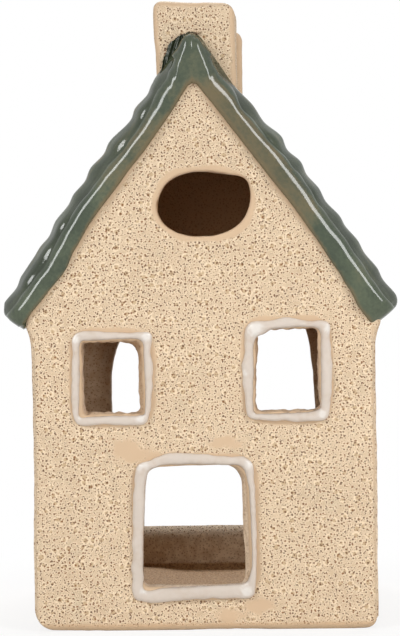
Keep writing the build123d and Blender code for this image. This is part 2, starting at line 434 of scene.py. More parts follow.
def makeWhiteGlaze():
    look = whiteGlaze
    material, tree = newMaterial("whiteGlaze")
    cloud = noiseNode(tree, look["cloud"], 3.0).outputs["Fac"]
    speck = noiseNode(tree, look["speck"], 2.0).outputs["Fac"]
    thin = attribute(tree, "thin")
    stain = ramp(tree, mathNode(tree, "MULTIPLY_ADD", thin, 0.7, cloud), 0.42, 1.15)
    colour = mixColour(tree, stain, look["white"], look["stained"])
    # painted glints at the bead corners, partly thick glaze
    colour = mixColour(tree, attribute(tree, "pooledAndPaintedLight"), colour, look["thick"])
    height = mathNode(tree, "MULTIPLY_ADD", cloud, 0.8, speck)
    glaze(tree, look, colour, look["roughness"], height)
    return material


cream = makeCreamGlaze()
green = makeGreenGlaze()
white = makeWhiteGlaze()
print("materials made")


# walls and floor, in mm
walls = {
    "halfWidth": 43.5, "halfDepth": 42.0, "voxel": 0.55, "rounds": 3,
    "lumps": ((26.0, 0.4), (7.0, 0.16), (2.4, 0.09)),
    "quietEdge": 1.7,  # glaze without pits along the edges
    "footRound": {-1: 6.2, 1: 3.0},  # corner at the foot of the left and right side
    # how far each side stands off its plan, by height
    "sideShift": {
        -1: ((4, -0.1), (20, 0.1), (35, 0.45), (60, 0.65), (78, 0.5)),
        1: ((4, 0.6), (30, 0.5), (50, 0.5), (78, 0.7)),
    },
    "sideReach": (36.0, 41.0),  # from the middle, where that sets in
    "bedded": 2.0,  # the gables run up into the roof
    "frontFace": -41.9,  # what lies before it is the face
    "inner": 38.5, "floorTop": 5.0, "aboveFloor": 4.0,
    "cornerFill": 8.0, "footFill": 3.5, "fillFace": (36.0, 39.0),  # clay in the inner corners at the back
    "lipTop": 17.2, "lipFace": 37.0, "lipRound": 6.0, "lipHalf": 30.0,  # the low lip at the back
    "lipWorn": 0.8, "lipWornFrom": 11.0,
    "archLean": ((50, 0.8), (60, 0.2), (67, -0.8), (74, -0.3), (79, 0.0)),  # of its right side, by height
    "archSide": 27.0, "archReach": 4.0,
    "floorRise": 1.3, "riseAcross": (5.0, 24.0), "riseBack": (8.0, 34.0),  # towards the back corners
    "ragged": 0.5, "raggedReach": 1.2,  # edges of the windows
    "runOn": (0.9993, 1.085),  # the side walls reach into the front and back, a hair below their faces
    "floorRunOn": (1.03, 1.03),
    # where the thin glaze of the inside sets in: depth in the front and back, width in the sides
    "insideFront": (-41.4, -40.2), "insideBack": (39.5, 37.4), "insideSide": (39.6, 38.8),
    "insideFloor": 0.8,
}
openings = {
    # centre across and up, half width and half height, corner radius,
    # smooth glaze round it from and to, how far it is cut wider to the left, right, foot and top,
    # at the front face and at the back of the wall
    "door": (-2.0, 26.5, 12.8, 15.3, 4.0, 2.7, 4.0, (0.8, 1.1, 0.3, 0.5), (1.2, -0.9, 0.0, 0.3)),
    "leftWindow": (-22.6, 64.5, 7.6, 9.1, 2.2, 2.6, 4.4, (0.6, 0.6, 0.5, 0.5), (0.1, -1.0, 0.0, 0.1)),
    "rightWindow": (21.6, 65.9, 8.0, 10.3, 2.2, 2.6, 4.4, (0.5, 0.5, 0.5, 0.5), (-0.2, 0.2, 0.0, 0.2)),
    "oval": (1.2, 108.2, 11.6, 7.9, 7.8, 0.6, 2.6, (0.4, 0.4, 0.4, 0.4), (0.0, 0.0, 0.0, 0.0)),
}
cornerCut = {"door": 1.0, "leftWindow": 0.55, "rightWindow": 0.55}  # sharper than round below 1
slantCut = {"leftWindow": 1.9}  # the upper right corner at the back of the wall
smears = (  # smooth patches: place and reach
    (-18.6, 45.8, 4.6, 3.2), (-14.5, 44.8, 4.0, 1.8), (5.7, 47.4, 4.4, 1.8),
    (13.6, 6.2, 3.4, 2.2), (7.0, 3.6, 5.0, 1.6),
)
roofLine = {"ridgeX": -1.2, "ridgeZ": 139.5, "eaveZ": 79.5}


def slopeOf(side):
    run = walls["halfWidth"] - side * roofLine["ridgeX"]
    rise = roofLine["ridgeZ"] - roofLine["eaveZ"]
    length = math.hypot(run, rise)
    return Vector((side * run / length, 0, -rise / length)), Vector((side * rise / length, 0, run / length))


slopes = {-1: slopeOf(-1), 1: slopeOf(1)}
ridgePoint = Vector((roofLine["ridgeX"], 0, roofLine["ridgeZ"]))


def sideOf(p):
    return 1 if p.x > roofLine["ridgeX"] else -1


def offRoof(p):
    # how far a point is above the underside of the roof
    return (p - ridgePoint).dot(slopes[sideOf(p)][1])


def offOpening(p, opening):
    x, z, halfWidth, halfHeight, radius = opening[:5]
    across = abs(p.x - x) - halfWidth + radius
    up = abs(p.z - z) - halfHeight + radius
    outside = math.hypot(max(across, 0.0), max(up, 0.0))
    return outside + min(max(across, up), 0.0) - radius


def wallPits(p):
    # the corner counts on whichever face the point is
    corner = max(walls["halfWidth"] - abs(p.x), walls["halfDepth"] - abs(p.y))
    edge = min(corner, p.z - 1.0, -offRoof(p))
    pits = smoothStep(-0.8, walls["quietEdge"], edge)
    if p.y < 0.0:
        for opening in openings.values():
            pits = min(pits, smoothStep(opening[5], opening[6], offOpening(p, opening)))
        for x, z, across, up in smears:
            ragged = 0.45 * noiseAt(p.x / 2.4, p.z / 2.4, 1.0)
            away = math.hypot((p.x - x) / across, (p.z - z) / up) + ragged
            pits = min(pits, 0.15 + 0.85 * smoothStep(0.3, 1.8, away))
    return pits


def flare(p):
    # the openings are cut by hand, wider at the front face
    for name, opening in openings.items():
        x, z, halfWidth, halfHeight, radius = opening[:5]
        if abs(offOpening(p, opening)) < 2.0:
            front = p.y < walls["frontFace"]
            across, up = p.x - x, p.z - z
            cornerX, cornerZ = math.copysign(halfWidth, across), math.copysign(halfHeight, up)
            if name in cornerCut and max(abs(cornerX - across), abs(cornerZ - up)) < radius + 0.01:
                cut = cornerCut[name]
                if not front and across > 0 and up > 0:
                    cut = slantCut.get(name, cut)
                across, up = cornerX + (across - cornerX) * cut, cornerZ + (up - cornerZ) * cut
            left, right, foot, top = opening[7] if front else opening[8]
            p.x = x + across * (1.0 + (right if across > 0 else left) / halfWidth)
            p.z = z + up * (1.0 + (top if up > 0 else foot) / halfHeight)


def fitGable(p):
    if abs(offRoof(p)) < 0.05:
        p.z += walls["bedded"]
    elif p.y < 0:
        flare(p)


def runInto(across, deep):
    def change(p):
        p.x *= across
        p.y *= deep
    return change


def standOff(p):
    side = 1 if p.x > 0 else -1
    p.x += follow(walls["sideShift"][side], p.z) * smoothStep(*walls["sideReach"], abs(p.x))


def roundFoot(p):
    side = 1 if p.x > 0 else -1
    r = walls["footRound"][side]
    across, down = drawIn(side * p.x - walls["halfWidth"] + r, r - p.z, r)
    p.x -= side * across
    p.z += down


def tearEdges(p):
    for name in ("leftWindow", "rightWindow"):
        near = math.exp(-(offOpening(p, openings[name]) / walls["raggedReach"]) ** 2) * walls["ragged"]
        p.x += near * noiseAt(p.z / 1.5, p.y / 4.0, 3.0)
        p.z += near * noiseAt(p.x / 1.5, p.y / 4.0, 7.0)


def wearArch(p):
    lean = math.exp(-((p.x - walls["archSide"]) / walls["archReach"]) ** 2)
    p.x += follow(walls["archLean"], p.z) * lean
    r, top, worn = walls["lipRound"], walls["lipTop"], walls["lipWorn"]
    if abs(p.x) < walls["lipHalf"] and p.z < top + 2.0:
        p.z -= worn * smoothStep(walls["lipWornFrom"], top + worn, p.z)
    if abs(p.x) < walls["lipHalf"] and p.z < top + 1.0:
        across, up = drawIn(walls["lipFace"] + r - p.y, p.z - top + r, r)
        p.y += across
        p.z -= up


def fillCorners(p):
    near, far = walls["fillFace"]
    if near < p.y < far:
        side = rounded(max(0.0, walls["inner"] - abs(p.x)), walls["cornerFill"])
        foot = rounded(max(0.0, p.z - walls["floorTop"]), walls["footFill"])
        p.y -= max(side, foot)


def liftFloor(p):
    if p.z > walls["aboveFloor"]:
        across = smoothStep(*walls["riseAcross"], abs(p.x))
        p.z += walls["floorRise"] * across * smoothStep(*walls["riseBack"], p.y)


def insideFront(p):
    return smoothStep(*walls["insideFront"], p.y)


def insideBack(p):
    return smoothStep(*walls["insideBack"], p.y) if p.z > walls["aboveFloor"] else 0.0


def insideSide(p):
    return smoothStep(*walls["insideSide"], abs(p.x)) if p.z > walls["aboveFloor"] else 0.0


def insideFloor(p):
    return walls["insideFloor"] if p.z > 1.0 else 0.0


def makeWall(name, node, inside, fit, *wear):
    wall = nodeCopy(name, node)
    reshape(wall, fit)
    asClay(wall, walls["voxel"], walls["rounds"])
    lumps(wall, walls["lumps"], 0.0)
    reshape(wall, standOff, roundFoot, *wear)
    paintSkin(wall)
    paint(wall, "pitted", wallPits)
    paint(wall, "inside", inside)
    settle(wall, cream, "cream_stoneware", node)


makeWall("frontWall", "front_wall", insideFront, fitGable, tearEdges)
makeWall("backWall", "back_wall", insideBack, fitGable, wearArch, fillCorners)
makeWall("leftWall", "left_wall", insideSide, runInto(*walls["runOn"]))
makeWall("rightWall", "right_wall", insideSide, runInto(*walls["runOn"]))
makeWall("floorSlab", "base_slab", insideFloor, runInto(*walls["floorRunOn"]), liftFloor)
print("walls shaped")


# roof: slabs with a flat barge face at each end, and soft rows of tiles over them
# places run down the slope from the ridge and heights stand off its underside, in mm
roof = {
    "front": 43.4, "end": 76.6, "miterFade": 14.0,
    "lowerRound": 0.7, "foldRound": 3.0, "tipRound": 3.2, "tipLowerRound": 1.6,
    "tipTurn": 4.5, "tipTurnShare": 0.8,  # the ends turn in towards the eaves
    "apexRound": (1.9, 2.9),  # how far the ridge is rounded off, and over what length
    "crossing": 0.6,  # the two sides run through each other at the ridge
    "seat": 2.3,  # top of the slabs under the tiles
    "bevelTurn": 28.0,  # how far up the bevel looks, in degrees
    "tileSetback": 0.06, "tileLean": 6.0, "tileCurve": 1.35, "tileFoot": 1.2, "tileSink": 1.4,
    "streaks": 0.1, "endSteps": 14, "middleSteps": 62,
    "rowStart": -1.8, "rowPitch": 8.69, "rows": 9,
    "tuck": 2.4, "flush": 0.6, "tuckDrop": 2.2,  # each row runs on under its neighbours, level at first
    "hair": 0.015,  # keeps faces from lying in each other
    "noseLength": 3.8,  # bulges on the ends of some rows
    "tipReach": {-1: 0.0, 1: 0.6}, "tipFrom": (64.0, 75.0),  # one eave hangs a little lower
    "wobble": 1.1, "lumps": 0.22,  # of the rows along the roof
    "inner": (36.0, 24.0), "ends": (34.0, 37.5),  # from the middle to the front and back
}
leftRoof = {
    "fold": (
        (0, 7.0), (1.3, 6.7), (3.1, 6.2), (5.9, 4.3), (7.4, 3.8), (9, 3.9), (12.2, 3.3), (17.5, 3.0),
        (23.8, 3.3), (33.5, 4.1), (43, 4.6), (49, 4.3), (54.6, 3.7), (60.4, 3.2), (64, 3.5), (70, 3.5),
        (76, 4.0),
    ),
    "lower": (
        (0, -0.6), (2, -0.1), (10, -0.4), (20, -0.3), (30, 0.3), (44, 0.9), (52, 0.3), (58, -0.7),
        (66, -0.1), (72, 0.4),
    ),
    "crest": (
        (-1, 8.8), (4, 8.3), (9.1, 8.4), (9.9, 8.2), (11.4, 7.65), (14, 8.25), (17, 7.5), (25, 8.85),
        (28, 8.35), (33, 9.1), (36.7, 8.4), (41, 8.9), (44, 8.5), (49, 8.9), (53.5, 8.1), (57, 8.45),
        (60, 8.3), (65.5, 8.25), (69, 7.6), (73.5, 8.0),
    ),
    "noses": ((14.2, 0.72), (23.6, 0.76), (49.8, 0.82), (57.5, 0.84), (65.2, 0.76)),  # place and depth
    "bevel": (  # flat along the fold
        (0, 0.5), (3, 0.5), (5, 0.3), (8, 0.3), (12, 0.6), (17, 0.3), (70, 0.25), (75, 0.0),
    ),
    "thin": ((0, 0.35), (20, 0.45), (40, 0.25), (70, 0.1)),  # how brown the barge is
}
rightRoof = {
    "fold": (
        (0, 6.9), (1.2, 6.6), (4.2, 5.6), (6, 4.5), (7.5, 4.2), (11.3, 4.6), (13.4, 4.2), (19.6, 4.4),
        (29.5, 5.0), (39, 5.0), (45, 4.5), (51.3, 4.4), (54.7, 4.6), (60.6, 4.2), (70, 3.9), (76, 4.2),
    ),
    "lower": (
        (0, -0.6), (2, 0.1), (10, 0.3), (30, 0.4), (40, 0.6), (50, 0.3), (60, -0.3), (66, -0.9),
        (71, -1.8),
    ),
    "crest": (
        (-1, 8.8), (6, 7.9), (10.5, 7.6), (14.3, 8.3), (19, 7.95), (25, 9.2), (28.5, 8.35), (33, 9.2),
        (36.8, 8.4), (41, 8.75), (45, 8.1), (50, 8.65), (53, 8.2), (57.5, 8.5), (61.5, 7.9),
        (66, 8.15), (69.5, 7.5), (73.5, 7.8),
    ),
    "noses": ((24.4, 0.7), (41.0, 0.35)),
    "bevel": (
        (0, 0.3), (3, 0.4), (5.5, 0.9), (8, 0.6), (11, 0.35), (20, 0.35), (34, 0.6), (55, 0.65),
        (66, 0.3), (74, 0.1),
    ),
    "thin": ((0, 0.35), (6, 0.58), (32, 0.58), (60, 0.25), (70, 0.2)),
}


def slopePoint(side, along, height, y):
    down, out = slopes[side]
    along += roof["tipReach"][side] * smoothStep(*roof["tipFrom"], along)
    return Vector((roofLine["ridgeX"], y, roofLine["ridgeZ"])) + down * along + out * height


def mitred(side, along, height):
    # near the ridge the places lean to the joint between the two sides
    down, out = slopes[side]
    return along + down.z / out.z * height * max(0.0, 1.0 - along / roof["miterFade"])


def offApex(along):
    depth, length = roof["apexRound"]
    return depth * max(0.0, 1.0 - along / length) ** 2


def turnedIn(along):
    return roof["tipTurnShare"] * rounded(roof["end"] - along, roof["tipTurn"])


def arc(y, height, radius, start, end, count):
    angles = [math.radians(start + (end - start) * k / count) for k in range(count + 1)]
    return [(y + radius * math.cos(a), height + radius * math.sin(a)) for a in angles]


def bevelReach(bevel):
    turn = math.radians(roof["bevelTurn"])
    return bevel * math.sin(turn), bevel * math.cos(turn)


def foldOf(shape, along):
    # the fold between a barge face and the tiles: an arc, a flat bevel and an arc again
    left = roof["end"] - along
    low = follow(shape["lower"], along) + rounded(left, roof["tipLowerRound"])
    radius = roof["foldRound"] * (1.0 + 0.35 * noiseAt(along / 4.5, 6.0, shape["fold"][2][1]))
    # broad by the ridge
    radius *= 0.8 + 0.6 * smoothStep(0.5, 5.0, along) - 0.4 * smoothStep(9.0, 14.0, along)
    bevel = follow(shape["bevel"], along)
    rise = bevelReach(bevel)[1]
    high = min(follow(shape["fold"], along) + 0.5 * (radius + rise) - offApex(along),
               follow(shape["crest"], along) - 0.5 - rounded(left, roof["tipRound"]))
    return low, high, min(radius, 0.85 * (high - low - roof["lowerRound"]) - rise), bevel


def bargeSection(shape, along, wave):
    # one end of a slab from its underside round to the seat of the tiles, y counted from the face inwards
    face = turnedIn(along) + wave
    low, high, r2, bevel = foldOf(shape, along)
    inwards, rise = bevelReach(bevel)
    r1 = roof["lowerRound"]
    steep = 180 - roof["bevelTurn"]
    section = [(face + 1.8, 0.0), (face + 1.7, low + 0.02)]
    section += arc(face + r1, low + r1, r1, 270, 180, 5)
    section += [(face, low + r1 + (high - rise - low - r1 - r2) * k / 6) for k in range(1, 6)]
    section += arc(face + r2, high - rise - r2, r2, 180, steep, 4)
    face += inwards
    section += arc(face + r2, high - r2, r2, steep, 90, 6)
    section += [(face + r2 + 0.8, high - 0.1), (face + r2 + 1.8, min(high, roof["seat"] + 0.6))]
    return section


def slabRing(side, shape, along):
    halves = []
    for end in (-1, 1):
        apart = 2.0 + side * min(1.0, along / 20.0)
        wave = 0.1 * noiseAt(max(along, 0.0) / 9.0, end * 3.0, apart)
        wave += 2 * roof["hair"] if along < 0 else 0.0
        half = [(end * (roof["front"] - y), height) for y, height in bargeSection(shape, along, wave)]
        halves.append(half + [(end * y, roof["seat"]) for y in (38.0, 20.0)])
    ring = halves[0] + halves[1][::-1]
    ring += [(y, 0.0) for y in (34.0, 20.0, 7.0, -7.0, -20.0, -34.0)]
    return [slopePoint(side, mitred(side, along, height), height, y) for y, height in ring]


def alongRoof(p, side):
    return (p - ridgePoint).dot(slopes[side][0])


def slabThin(side, shape):
    def value(p):
        along = alongRoof(p, side)
        edge = 0.35 * (1.0 - smoothStep(0.2, 1.4, offRoof(p) - follow(shape["lower"], along)))
        return (edge + follow(shape["thin"], along)) if abs(p.y) > 42.0 else 0.2
    return value


def slabInside(p):
    hidden = abs(p.y) < 41.5 and abs(p.x) < 43.0
    return 1.0 - smoothStep(0.3, 0.9, offRoof(p)) if hidden else 0.0


def crestHeight(shape, along, y):
    inner = smoothStep(*roof["inner"], abs(y))
    shift = roof["wobble"] * inner * noiseAt(along / 16.0, y / 11.0, 4.0)
    lump = roof["lumps"] * noiseAt(along / 7.0, y / 7.0, 9.0)
    under = 0.9 * inner * smoothStep(5.0, 1.5, along)  # the ridge cap lies over the first row
    return follow(shape["crest"], along + shift) + lump * inner - under - offApex(along)


def noseDepth(shape, along):
    length = roof["noseLength"]
    return sum(depth * math.exp(-((along - place) / length) ** 2) for place, depth in shape["noses"])


def tileRing(side, shape, along, drop):
    # across the roof over one place on the slope, from the front end over the top to the back and under
    turned = turnedIn(along)
    front = roof["front"] - roof["tileSetback"] - turned
    deep = roof["tileLean"] - turned
    tip = rounded(roof["end"] - along, roof["tipRound"])
    foot = min(foldOf(shape, along + k)[1] for k in (-1.5, 0.0, 1.5)) - roof["tileSink"]
    foot = max(roof["tileFoot"] + 0.1, min(foot, follow(shape["crest"], along) - tip - 1.5) - drop)
    high, radius, bevel = foldOf(shape, along)[1:]
    front -= rounded(high - foot, radius)
    front -= bevelReach(bevel)[0]
    nose = noseDepth(shape, along)

    def top(y):
        return max(foot + 0.1, crestHeight(shape, along, y) - tip - drop)

    halves = []
    for end in (-1, 1):
        half = []
        for k in range(roof["endSteps"] + 1):
            t = k / roof["endSteps"]
            streak = roof["streaks"] * noiseAt(along / 7.0, t * 9.0, side * 3.0) * math.sin(math.pi * t)
            bulge = math.sin(math.pi * min(1.0, max(0.0, t - 0.15) / 0.7)) ** 2
            y = end * (front - (deep * t + streak - nose * bulge))
            half.append((y, foot + (top(y) - foot) * (1.0 - (1.0 - t) ** roof["tileCurve"])))
        halves.append(half)
    span, steps = 2 * (front - deep), roof["middleSteps"]
    middle = [-front + deep + span * k / steps for k in range(1, steps)]
    ring = halves[0] + [(y, top(y)) for y in middle] + halves[1][::-1]
    ring += [(y, roof["tileFoot"]) for y in (front, 20.0, 0.0, -20.0, -front)]
    return [slopePoint(side, mitred(side, along, height), height, y) for y, height in ring]


def streaky(p):
    return noiseAt(alongRoof(p, sideOf(p)) / 6.0, offRoof(p) / 0.5, p.y / 3.0)


def tileThin(p):
    ends = smoothStep(*roof["ends"], abs(p.y))
    return 0.12 + 0.2 * smoothStep(6.4, 8.6, offRoof(p)) * ends + 0.4 * ends * streaky(p)


def tilePoolAndShade(p):
    # darker in the valleys between the rows where the glaze pools, and low down on the ends as painted
    # shade
    ends = smoothStep(*roof["ends"], abs(p.y))
    turn = 2 * math.pi * (alongRoof(p, sideOf(p)) - roof["rowStart"]) / roof["rowPitch"]
    valley = 0.45 * (1.0 - ends) * (0.5 + 0.5 * math.cos(turn)) ** 3
    # painted shade low on the tile ends
    low = (0.3 + 0.2 * ends) * smoothStep(8.8, 6.6, offRoof(p))
    return max(0.0, low + valley - 0.3 * ends * streaky(p))


def makeSlab(side, word, shape):
    stations = [-roof["crossing"], -0.3] + [0.2 * k for k in range(11)] + [2.4]
    stations += [3.2 + 0.3 * k for k in range(16)] + [8.5 + 1.0 * k for k in range(64)]
    stations += [72.0 + 0.35 * k for k in range(13)] + [roof["end"]]
    slab = wrapGrid(word + "RoofSlab", [slabRing(side, shape, s) for s in stations])
    paint(slab, "thin", slabThin(side, shape))
    paint(slab, "inside", slabInside)
    settle(slab, green, "green_glaze", word + "_roof_slab")


def makeTile(side, word, shape, row):
    top = roof["rowStart"] + roof["rowPitch"] * row
    low = min(top + roof["rowPitch"], roof["end"])
    last = row == roof["rows"] - 1
    first = top - roof["tuck"] if row else -roof["crossing"]
    stop = roof["end"] if last else low + roof["tuck"]
    count = 40 if last else 36
    rings = []
    for k in range(count + 1):
        along = first + (stop - first) * k / count
        over = max(top - along, 0.0) if row else 0.0
        over = max(over, 0.0 if last else along - low)
        drop = roof["tuckDrop"] * smoothStep(roof["flush"], roof["tuck"], over)
        drop += roof["hair"] if over > 0.0 else 0.0
        rings.append(tileRing(side, shape, along, drop))
    tile = wrapGrid(word + "Tile" + str(row + 1), rings)
    paint(tile, "thin", tileThin)
    paint(tile, "pooledAndPaintedLight", tilePoolAndShade)
    settle(tile, green, "green_glaze", word + "_tile_" + str(row + 1))


for side, word, shape in ((-1, "left", leftRoof), (1, "right", rightRoof)):
    makeSlab(side, word, shape)
    for row in range(roof["rows"]):
        makeTile(side, word, shape, row)

ridge = {"voxel": 0.45, "rounds": 4, "lumps": ((16.0, 0.35), (5.0, 0.12))}
ridgeCap = nodeCopy("ridgeCap", "ridge_cap")
asClay(ridgeCap, ridge["voxel"], ridge["rounds"])
lumps(ridgeCap, ridge["lumps"], 5.0)
paint(ridgeCap, "thin", tileThin)
settle(ridgeCap, green, "green_glaze", "ridge_cap")
print("roof laid")


# chimney with its lower block, and clay pressed round its foot
chimney = {
    "voxel": 0.4, "rounds": 4, "lumps": ((12.0, 0.35), (4.0, 0.12), (2.2, 0.07)),
    "left": -11.1, "right": 9.7, "top": 160.0,  # of the stack
    "fall": (-0.1, 0.05),  # how far the top is worn down at its left end, and its lean to the right
    "roundRight": 3.6,
    "narrowing": 0.6, "narrowFrom": (156.0, 141.0),  # of the left side towards the foot, and its heights
    "wornFrom": (148.0, 158.0), "shoulderDrop": 1.1, "shoulderFrom": (146.0, 153.0),
    "sunk": 2.0, "sunkFrom": (11.0, 8.6),  # how far the foot goes down between the tiles
    "quietEdge": (0.3, 2.8),  # few pits along the edges
}


def blockPits(block):
    # fewer towards the edges of whichever face the point is on
    places = [v.co / mm for v in block.data.vertices]
    low = [min(p[k] for p in places) for k in range(3)]
    high = [max(p[k] for p in places) for k in range(3)]

    def value(p):
        across, deep = min(p.x - low[0], high[0] - p.x), min(p.y - low[1], high[1] - p.y)
        gaps = sorted((across, deep, high[2] - p.z))
        return smoothStep(*chimney["quietEdge"], gaps[1])
    return value


def wearStack(p):
    down, lean = chimney["fall"]
    left, right, r = chimney["left"], chimney["right"], chimney["roundRight"]
    p.z -= (down + lean * (p.x - left)) * smoothStep(*chimney["wornFrom"], p.z)
    p.x += chimney["narrowing"] * smoothStep(*chimney["narrowFrom"], p.z) * smoothStep(0.0, left, p.x)
    top = chimney["top"] - down - lean * (right - left - r)
    across, up = drawIn(p.x - right + r, p.z - top + r, r)
    p.x -= across
    p.z -= up


def wearShoulder(p):
    p.z -= chimney["shoulderDrop"] * smoothStep(*chimney["shoulderFrom"], p.z)


def makeBlock(name, node, wear):
    block = nodeCopy(name, node)
    asClay(block, chimney["voxel"], chimney["rounds"])
    high = max(v.co.z for v in block.data.vertices) / mm

    def change(p):
        below = smoothStep(0.6, 3.0, high - p.z)
        sunk = chimney["sunk"] * smoothStep(*chimney["sunkFrom"], offRoof(p)) * below
        wear(p)
        p.z -= sunk

    reshape(block, change)
    lumps(block, chimney["lumps"], 7.0)
    paintSkin(block)
    paint(block, "pitted", blockPits(block))
    settle(block, cream, "cream_stoneware", node)


makeBlock("chimneyStack", "chimney_stack", wearStack)
makeBlock("chimneyShoulder", "chimney_shoulder", wearShoulder)

flashing = {
    "voxel": 0.25, "rounds": 2, "lumps": ((2.4, 0.15), (0.9, 0.1)),
    # height over the roof by the place down the slope
    "edge": {
        -1: ((-11.5, 5.0), (-9.2, 8.0), (-6.5, 9.6), (-4.3, 10.2), (-1.2, 9.4), (2.8, 8.1)),
        1: ((-5.0, 4.5), (5.0, 6.4)),
    },
    "ends": {-1: 2.9, 1: 5.0}, "endPress": 0.9,
    "front": -37.3, "frontPress": 0.05,  # what stands before it is pressed back
    "marks": (4.6, 0.3),  # of the tool, how close and how deep
    "swirl": (2.5, 3.0),
}


def pressFlashing(p):
    side = sideOf(p)
    down, out = slopes[side]
    along = alongRoof(p, side)
    p -= out * max(0.0, offRoof(p) - follow(flashing["edge"][side], along))
    p -= down * max(0.0, along - flashing["ends"][side]) * flashing["endPress"]
    p.y = max(p.y, flashing["front"] + flashing["frontPress"] * (p.y - flashing["front"]))
    if side < 0:
        close, deep = flashing["marks"]
        turns, size = flashing["swirl"]
        phase = close * (offRoof(p) + 0.4 * along) + turns * noise.noise(p / size)
        p.y += deep * math.sin(phase) * smoothStep(-10.0, -8.0, along)


clayFlashing = nodeCopy("chimneyFlashing", "chimney_flashing")
asClay(clayFlashing, flashing["voxel"], flashing["rounds"])
reshape(clayFlashing, pressFlashing)
lumps(clayFlashing, flashing["lumps"], 9.0)
paint(clayFlashing, "inside", lambda p: 0.85 * smoothStep(-1.5, 0.5, p.x))
paint(clayFlashing, "pooledAndPaintedLight", lambda p: 0.8 - 0.8 * smoothStep(-1.0, 2.0, p.x))
settle(clayFlashing, green, "green_glaze", "chimney_flashing")
print("chimney built")


# beads of white glaze, across and up in mm
# each is a list of its outer and inner edge, clockwise from the upper left corner
rims = {
    "face": -42.0, "height": 1.25, "bed": 0.7, "steps": 8, "across": 14,
    "lumps": ((2.6, 0.16), (1.3, 0.07)),
    "squareness": (0.8, 0.85),  # of the section, across and up
    "wander": 0.25, "swell": 0.25,  # of the edges and of the height
    "thickness": 0.6,
    "thick": (  # painted glints, partly thick glaze: across, up and reach
        (13.9, 76.4, 2.3), (10.9, 65.3, 0.9), (32.0, 76.2, 1.3), (30.3, 54.6, 1.3), (-13.8, 74.8, 1.5),
        (-15.6, 54.1, 1.3), (-30.9, 54.5, 0.6), (-31.9, 74.4, 1.4), (12.0, 42.2, 1.5), (10.6, 10.0, 1.9),
        (-15.2, 42.8, 2.0), (-15.6, 10.4, 1.0),
    ),
    "doorway": (
        (-16.9, 41.9, -13.8, 40.5), (-13.3, 43.4, -11.3, 41.8), (-9, 45.2, -8, 42.2),
        (-2.7, 45.1, -2.7, 42.3), (4.4, 44.4, 3.8, 42.1), (11.8, 43.4, 9.8, 41.5),
        (13.1, 37.4, 11.3, 36.9), (13.3, 30.8, 11.8, 30.8), (13.3, 23, 12, 23),
        (13.2, 16.1, 11.9, 16.6), (12.3, 8.7, 10.6, 12.4), (8.9, 8, 7.4, 11.7), (3.1, 8, 2.6, 11.5),
        (-3.8, 7.8, -3.7, 11.2), (-10.9, 7.3, -10.8, 10.9), (-17.5, 8, -15.2, 10.4),
        (-18.5, 13.9, -15.4, 13.9), (-18.2, 22, -15.4, 22), (-17.9, 30.9, -14.9, 30.9),
        (-17.5, 37.3, -14.5, 37.5),
    ),
    "left_window": (
        (-32.3, 75.2, -30.5, 73.6), (-28.9, 76.5, -27.7, 73.9), (-23.2, 76.2, -23.7, 74.1),
        (-17.9, 75.9, -18.4, 74.3), (-12.7, 75.6, -15.1, 73.7), (-12.6, 71.4, -14.6, 70.7),
        (-12.2, 66.3, -14.4, 66.4), (-12.6, 60, -14.3, 60), (-13, 56, -14.4, 56.8),
        (-14.3, 52.7, -15.1, 55), (-18.8, 52.4, -19.2, 54.9), (-23.6, 52.7, -24.1, 54.8),
        (-28.4, 52.5, -28.4, 54.7), (-32.1, 53.3, -31, 54.8), (-33, 58.5, -31, 58.5),
        (-33, 64.1, -30.8, 64.1), (-32.7, 69.9, -30.7, 69.9),
    ),
    "right_window": (
        (11.5, 77.1, 13.9, 73.9), (14, 78.3, 16.2, 75.2), (17, 78.5, 18.3, 76.2),
        (21.8, 79.1, 22.2, 76.6), (26.8, 78.3, 26.3, 76.7), (32, 77.8, 29.7, 76.1),
        (32.6, 73.3, 30.2, 72.6), (33, 67.5, 30.2, 67.5), (33, 61.9, 30.2, 62), (32.5, 56.9, 30, 57.2),
        (31, 53.3, 29.4, 55.8), (26, 52.8, 25.5, 55.1), (20.9, 52.9, 20.7, 55),
        (15.1, 53.3, 15.4, 54.9), (11.6, 54.3, 13.4, 55.4), (10.8, 58.9, 13, 58.9),
        (10.3, 65, 13.2, 65), (10.7, 71.1, 13.3, 70.5),
    ),
}


def between(points, place):
    # a smooth closed line through the points
    count = len(points)
    i, t = int(place) % count, place - int(place)
    a, b, c, d = (Vector(points[(i + k - 1) % count]) for k in range(4))
    line = b + (c - a) * (0.5 * t)
    line += (a * 2 - b * 5 + c * 4 - d) * (0.5 * t * t)
    return line + (b * 3 - a - c * 3 + d) * (0.5 * t ** 3)


# painted glints at the bead corners, partly thick glaze
def paintedGlints(p):
    ragged = 1.0 + 0.5 * noise.noise(p / 0.8)
    away = [(math.hypot(p.x - x, p.z - z) * ragged, r) for x, z, r in rims["thick"]]
    return rims["thickness"] * max(smoothStep(r, 0.4 * r, distance) for distance, r in away)


def streakedRim(p):
    edge = 1.0 - smoothStep(0.0, 0.8, rims["face"] - p.y)
    return edge + 0.35 * noiseAt(p.x / 1.2, p.z / 1.2, 5.0)


def rimRing(x0, z0, x1, z1):
    wander = rims["wander"] * noiseAt(x0 / 3.0, z0 / 3.0, 8.0)
    x0, z0 = x0 + (x0 - x1) * wander / 2.0, z0 + (z0 - z1) * wander / 2.0
    full = rims["height"] * (1.0 + rims["swell"] * noiseAt(x0 / 5.0, z0 / 5.0, 2.0))
    wide, tall = rims["squareness"]
    ring = []
    for j in range(rims["across"] + 1):
        a = math.pi * j / rims["across"]
        w = 0.5 - 0.5 * math.copysign(abs(math.cos(a)) ** wide, math.cos(a))
        rise = full * math.sin(a) ** tall
        ring.append(Vector((x0 + (x1 - x0) * w, rims["face"] - rise, z0 + (z1 - z0) * w)))
    return ring + [Vector((p.x, rims["face"] + rims["bed"], p.z)) for p in (ring[-1], ring[0])]


